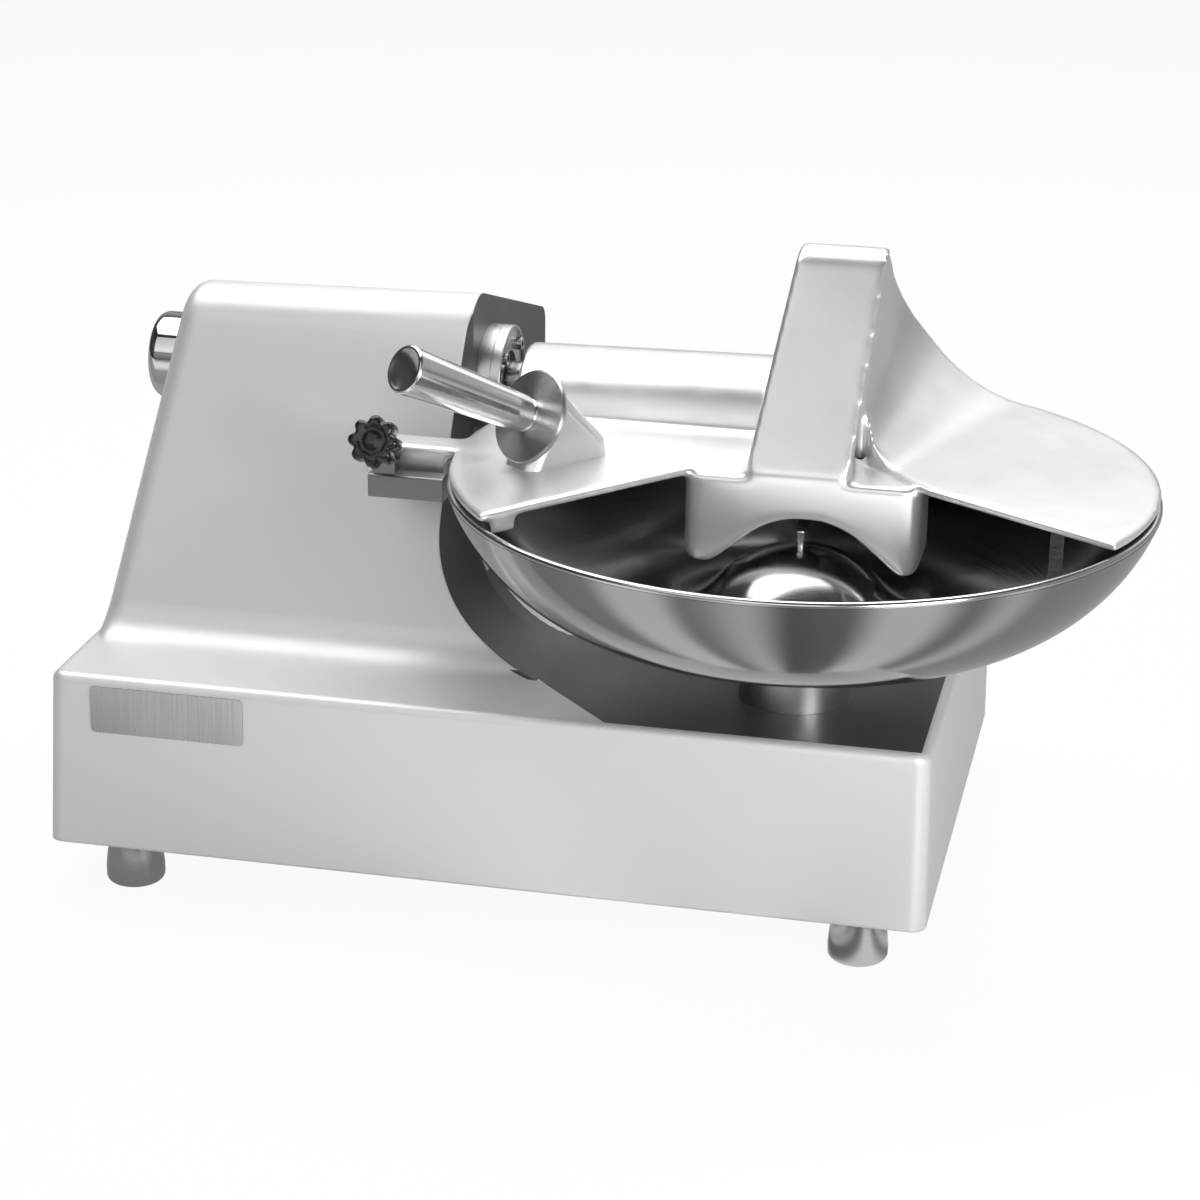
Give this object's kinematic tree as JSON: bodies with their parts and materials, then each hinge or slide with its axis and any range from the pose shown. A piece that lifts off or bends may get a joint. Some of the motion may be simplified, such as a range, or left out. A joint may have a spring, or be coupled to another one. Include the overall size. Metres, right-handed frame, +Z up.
{
  "type": "meat bowl cutter",
  "caption": "Table-top bowl cutter: a motor housing drives sickle knives over a turning bowl, under a hinged cover casting with handle, comb and clamp screw.",
  "frame": {"origin": "on the table under the middle of the overall footprint", "axes": "+X along the knife shaft towards the bowl, -Y to the front, +Z up"},
  "size_m": [0.6926, 0.5287, 0.4245],
  "materials": {
    "satin_body": "pale bead-blasted satin",
    "polished_cast": "brushed and polished casting",
    "polished_stainless": "mirror-polished stainless steel",
    "brushed_stainless": "turned and brushed stainless steel",
    "satin_bracket": "satin",
    "chromed": "bright chrome",
    "black_phenolic": "glossy black",
    "steel": "machined steel",
    "blade_steel": "ground stainless steel",
    "cast_iron": "painted cast iron",
    "bronze": "machined bronze",
    "belt_rubber": "matt black",
    "seal_rubber": "matt black",
    "grey_plastic": "matt grey",
    "black_plastic": "matt black",
    "green_plastic": "glossy green",
    "red_plastic": "glossy red"
  },
  "bodies": {
    "machine": {"body_shell": "satin_body", "bottom_plate": "brushed_stainless", "bottom_screws": "steel", "feet": "brushed_stainless", "name_plate": "brushed_stainless", "bearing_cap_left": "chromed", "rear_bearing": "steel", "bearing_housing": "polished_cast", "front_bearing": "steel", "bearing_retainer": "polished_cast", "shaft_seal": "seal_rubber", "bearing_screws": "steel", "motor_casing": "cast_iron", "motor_cradle": "cast_iron", "fan_cover": "black_plastic", "knife_belt": "belt_rubber", "worm_belt": "belt_rubber", "gearbox_case": "cast_iron", "worm_bearings": "steel", "spindle_boss": "polished_cast", "spindle_bearings": "steel", "hinge_posts": "satin_body", "hinge_pin": "brushed_stainless", "latch_bracket": "satin_bracket", "switch_plate": "brushed_stainless", "cable_gland": "grey_plastic"},
    "knife_set": {"knife_shaft": "steel", "front_knife": "blade_steel", "back_knife": "blade_steel", "knife_collars": "brushed_stainless", "knife_nut": "brushed_stainless", "shaft_pulley": "cast_iron"},
    "motor_rotor": {"rotor_shaft": "steel", "motor_fan": "black_plastic", "motor_pulleys": "cast_iron"},
    "worm_drive": {"worm_shaft": "steel", "worm_pulley": "cast_iron"},
    "bowl_set": {"bowl": "polished_stainless", "bowl_hub": "polished_stainless", "bowl_spindle": "steel", "hub_stud": "brushed_stainless", "worm_wheel": "bronze"},
    "cover_set": {"cover": "polished_cast", "handle_block": "polished_cast", "guard_disc": "brushed_stainless", "handle_bar": "polished_stainless", "bowl_scraper": "brushed_stainless"},
    "clamp": {"clamp_screw": "steel", "star_knob": "black_phenolic"},
    "start": {"start_button": "green_plastic"},
    "stop": {"stop_button": "red_plastic"}
  },
  "joints": [
    {"name": "knife_spin", "type": "hinge", "parent": "machine", "child": "knife_set", "pos_m": [-0.0572, 0.066, 0.3092], "axis": [1, 0, 0], "continuous": true},
    {"name": "motor_spin", "type": "hinge", "parent": "machine", "child": "motor_rotor", "pos_m": [-0.2072, 0.135, 0.1047], "axis": [1, 0, 0], "continuous": true},
    {"name": "worm_spin", "type": "hinge", "parent": "machine", "child": "worm_drive", "pos_m": [-0.0572, 0.012, 0.0867], "axis": [1, 0, 0], "continuous": true},
    {"name": "bowl_spin", "type": "hinge", "parent": "machine", "child": "bowl_set", "pos_m": [0.1278, -0.046, 0.247], "axis": [0, 0, 1], "continuous": true},
    {"name": "cover_hinge", "type": "hinge", "parent": "machine", "child": "cover_set", "pos_m": [0.1278, 0.208, 0.2832], "axis": [-1, 0, 0], "range_deg": [0, 80]},
    {"name": "clamp_turn", "type": "hinge", "parent": "machine", "child": "clamp", "pos_m": [-0.1292, -0.065, 0.2957], "axis": [0, -0.9, 0.436], "range_deg": [0, 1080]},
    {"name": "start_press", "type": "slide", "parent": "machine", "child": "start", "axis": [0.9987, 0, -0.0514], "range_m": [0, 0.003], "stiffness_N_per_m": 400, "springref_m": -0.001},
    {"name": "stop_press", "type": "slide", "parent": "machine", "child": "stop", "axis": [0.9987, 0, -0.0514], "range_m": [0, 0.003], "stiffness_N_per_m": 400, "springref_m": -0.001}
  ],
  "couplings": [
    {"joint": "motor_spin", "follows": "knife_spin", "ratio": 1},
    {"joint": "worm_spin", "follows": "knife_spin", "ratio": 1},
    {"joint": "bowl_spin", "follows": "knife_spin", "ratio": -0.016667}
  ]
}
